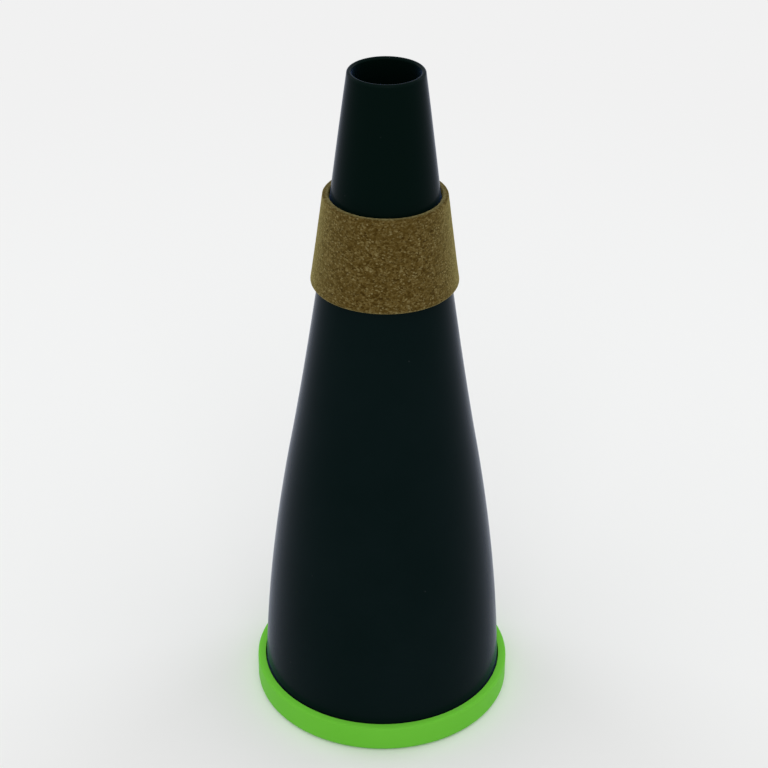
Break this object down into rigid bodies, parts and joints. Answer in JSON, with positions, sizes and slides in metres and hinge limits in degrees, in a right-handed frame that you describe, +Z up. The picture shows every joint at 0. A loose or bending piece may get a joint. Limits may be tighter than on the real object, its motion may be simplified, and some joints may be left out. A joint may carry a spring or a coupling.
{
  "type": "brass practice mute",
  "caption": "Tall tapered practice mute for a brass instrument: black moulded cone with an open mouth, cork seal sleeve, green pull-off base cap and an inner vented silencer.",
  "frame": {"origin": "centre of the plane that the base cap's rest ring stands on, on the mute's axis", "axes": "+Z up the mute's axis from the base cap to the open mouth, +Y away from the side that the picture shows, +X to that view's right"},
  "size_m": [0.0742, 0.0742, 0.193],
  "materials": {
    "black_plastic": "satin black moulded plastic",
    "cork": "fine-grained agglomerated cork, unsealed",
    "green_plastic": "plain bright green moulded plastic",
    "black_rubber": "matt black rubber",
    "natural_plastic": "natural off-white tube",
    "inner_plastic": "fine matt black moulded plastic",
    "grey_foam": "open-cell charcoal foam"
  },
  "bodies": {
    "base": {"base_cap": "green_plastic", "cap_seal": "black_rubber", "vent_bush": "black_rubber", "vent_tube": "natural_plastic", "cap_foam": "grey_foam", "lower_baffle": "inner_plastic", "spacer_tube": "inner_plastic", "middle_foam": "grey_foam", "upper_baffle": "inner_plastic", "upper_foam": "grey_foam", "retaining_collar": "black_rubber"},
    "cone": {"body_shell": "black_plastic", "cork_sleeve": "cork"}
  },
  "joints": [
    {"name": "cone_lift", "type": "slide", "parent": "base", "child": "cone", "axis": [0, 0, 1], "range_m": [0, 0.085]}
  ]
}
